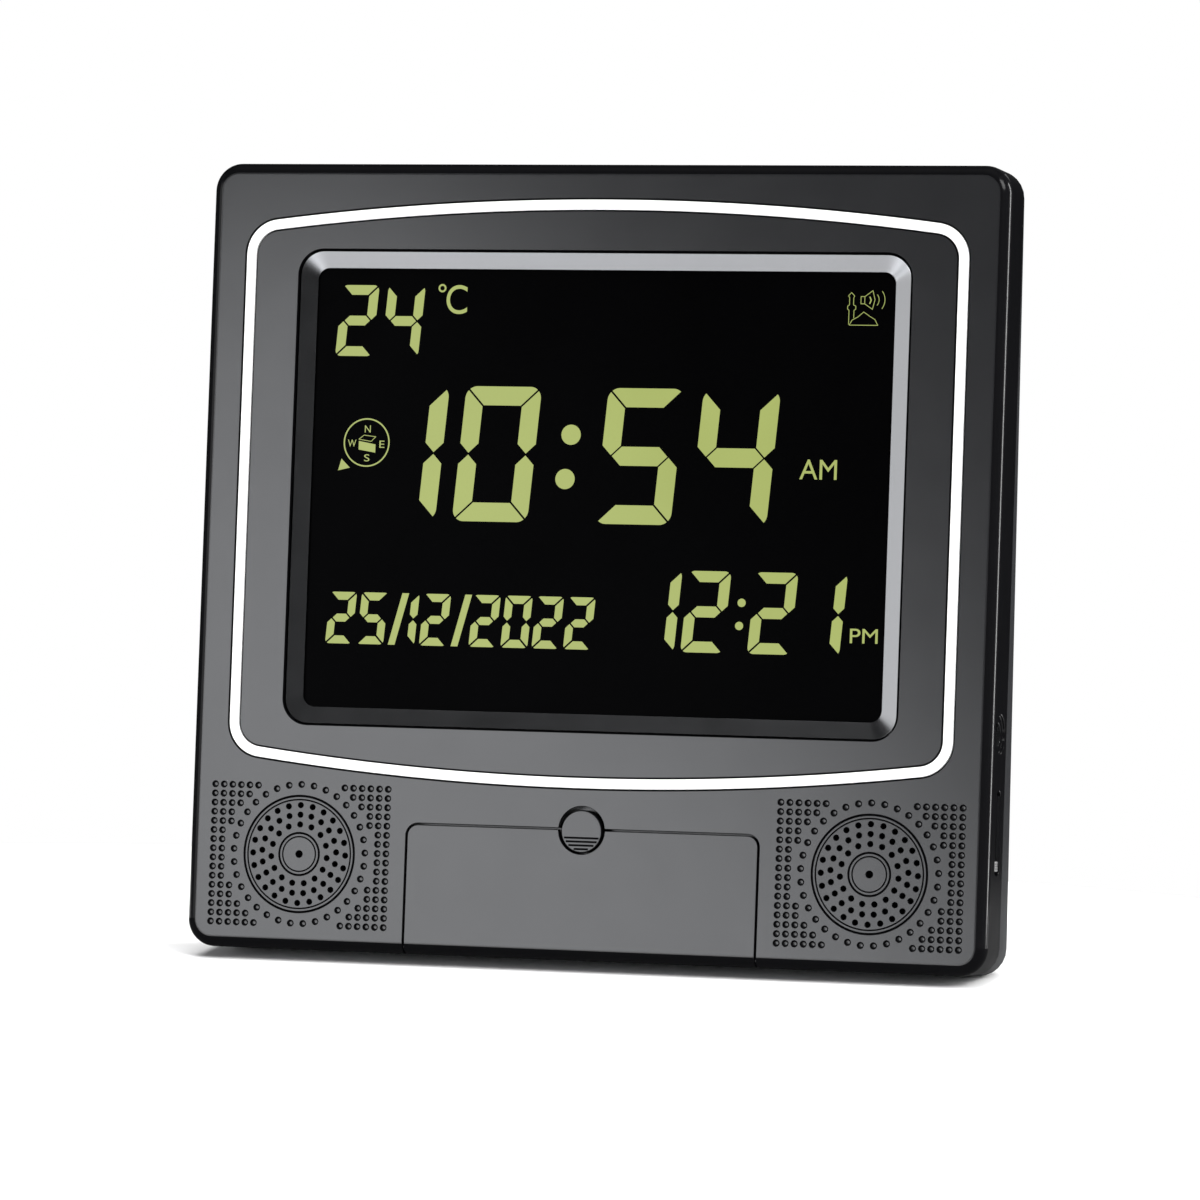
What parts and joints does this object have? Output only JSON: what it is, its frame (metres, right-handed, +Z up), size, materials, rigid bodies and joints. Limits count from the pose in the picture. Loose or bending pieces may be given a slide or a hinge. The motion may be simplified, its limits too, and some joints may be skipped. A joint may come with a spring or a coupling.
{
  "type": "azan clock",
  "caption": "Leaning digital table clock with a bowed white trim ring round a framed display, two speaker grilles, a flap over keys, and a fold-out stand.",
  "frame": {"origin": "on the table, under the middle of the clock's bounding box, as it stands on its own leg", "axes": "+X to the right as seen from the front, -Y towards the viewer, +Z up; the clock leans back 9 degrees about X"},
  "size_m": [0.248, 0.0658, 0.2371],
  "materials": {
    "bezel_satin": "dark satin metallic paint on plastic",
    "board_green": "green solder mask on glass-fibre board",
    "carrier_white": "white moulded plastic",
    "case_plastic": "dark grey moulded plastic with a soft sheen and a glossier rounded edge",
    "cell_wrap": "plain printed steel can without lettering",
    "chip_black": "black moulded resin",
    "cloth_black": "black dust cloth",
    "contact_nickel": "nickel-plated spring steel",
    "guide_clear": "milky light-spreading plate",
    "key_grey": "grey key caps",
    "knob_pale": "pale grey plastic",
    "magnet_grey": "dark painted steel and ferrite",
    "panel_glass": "dark negative display cell, hidden behind the window",
    "paper_cone": "black pressed paper",
    "rear_plastic": "near-black moulded plastic, fine texture",
    "rubber_black": "black rubber",
    "rubber_grey": "grey conductive rubber",
    "screw_steel": "zinc-plated steel",
    "trim_white": "white, smooth",
    "window_black": "near-black tinted acrylic, polished"
  },
  "bodies": {
    "clock": {"battery_1": "cell_wrap", "battery_2": "cell_wrap", "battery_3": "cell_wrap", "battery_contact_1": "contact_nickel", "battery_contact_2": "contact_nickel", "battery_contact_3": "contact_nickel", "battery_contact_4": "contact_nickel", "board_chip_1": "chip_black", "board_chip_2": "chip_black", "board_screw_1": "screw_steel", "board_screw_2": "screw_steel", "board_screw_3": "screw_steel", "board_screw_4": "screw_steel", "case_screw_1": "screw_steel", "case_screw_2": "screw_steel", "case_screw_3": "screw_steel", "case_screw_4": "screw_steel", "dc_jack": "chip_black", "display_bezel": "bezel_satin", "display_window": "window_black", "dome_sheet": "carrier_white", "front_housing": "case_plastic", "jack_pin": "contact_nickel", "key_board": "board_green", "latch_spring": "screw_steel", "lcd_carrier": "carrier_white", "lcd_panel": "panel_glass", "light_guide": "guide_clear", "main_board": "board_green", "rear_housing": "rear_plastic", "speaker_cloth_left": "cloth_black", "speaker_cloth_right": "cloth_black", "speaker_cone_left": "paper_cone", "speaker_cone_right": "paper_cone", "speaker_frame_left": "magnet_grey", "speaker_frame_right": "magnet_grey", "speaker_magnet_left": "magnet_grey", "speaker_magnet_right": "magnet_grey", "speaker_screw_1": "screw_steel", "speaker_screw_2": "screw_steel", "speaker_screw_3": "screw_steel", "speaker_screw_4": "screw_steel", "stand_pin": "screw_steel", "trim_ring": "trim_white", "volume_pot": "chip_black", "zebra_strip": "rubber_grey"},
    "flap": {"front_door": "case_plastic"},
    "push_button": {"latch_button": "case_plastic"},
    "volume_knob": {"volume_slider": "knob_pale"},
    "stand": {"stand_leg": "rear_plastic", "stand_pad": "rubber_black"},
    "battery_lid": {"battery_cover": "rear_plastic"},
    "setting_key_1": {"key_1": "key_grey"},
    "setting_key_2": {"key_2": "key_grey"},
    "setting_key_3": {"key_3": "key_grey"},
    "setting_key_4": {"key_4": "key_grey"},
    "setting_key_5": {"key_5": "key_grey"},
    "setting_key_6": {"key_6": "key_grey"}
  },
  "joints": [
    {"name": "flap_hinge", "type": "hinge", "parent": "clock", "child": "flap", "pos_m": [0, -0.03091, 0.00588], "axis": [1, 0, 0], "range_deg": [0, 90]},
    {"name": "button_push", "type": "slide", "parent": "clock", "child": "push_button", "axis": [0, 0.9877, -0.1564], "range_m": [0, 0.0015], "stiffness_N_per_m": 700, "deforming": ["latch_spring"]},
    {"name": "key_1_push", "type": "slide", "parent": "clock", "child": "setting_key_1", "axis": [0, 0.9877, -0.1564], "range_m": [0, 0.0008], "stiffness_N_per_m": 900},
    {"name": "key_2_push", "type": "slide", "parent": "clock", "child": "setting_key_2", "axis": [0, 0.9877, -0.1564], "range_m": [0, 0.0008], "stiffness_N_per_m": 900},
    {"name": "key_3_push", "type": "slide", "parent": "clock", "child": "setting_key_3", "axis": [0, 0.9877, -0.1564], "range_m": [0, 0.0008], "stiffness_N_per_m": 900},
    {"name": "key_4_push", "type": "slide", "parent": "clock", "child": "setting_key_4", "axis": [0, 0.9877, -0.1564], "range_m": [0, 0.0008], "stiffness_N_per_m": 900},
    {"name": "key_5_push", "type": "slide", "parent": "clock", "child": "setting_key_5", "axis": [0, 0.9877, -0.1564], "range_m": [0, 0.0008], "stiffness_N_per_m": 900},
    {"name": "key_6_push", "type": "slide", "parent": "clock", "child": "setting_key_6", "axis": [0, 0.9877, -0.1564], "range_m": [0, 0.0008], "stiffness_N_per_m": 900},
    {"name": "volume_slide", "type": "slide", "parent": "clock", "child": "volume_knob", "axis": [0, 0.1564, 0.9877], "range_m": [0, 0.0192]},
    {"name": "stand_hinge", "type": "hinge", "parent": "clock", "child": "stand", "pos_m": [0, 0.01209, 0.14865], "axis": [1, 0, 0], "range_deg": [-13.8, 0]},
    {"name": "battery_lid_hinge", "type": "hinge", "parent": "clock", "child": "battery_lid", "pos_m": [0.06851, 0.00144, 0.03564], "axis": [0, -0.1183, -0.993], "range_deg": [0, 80]}
  ]
}
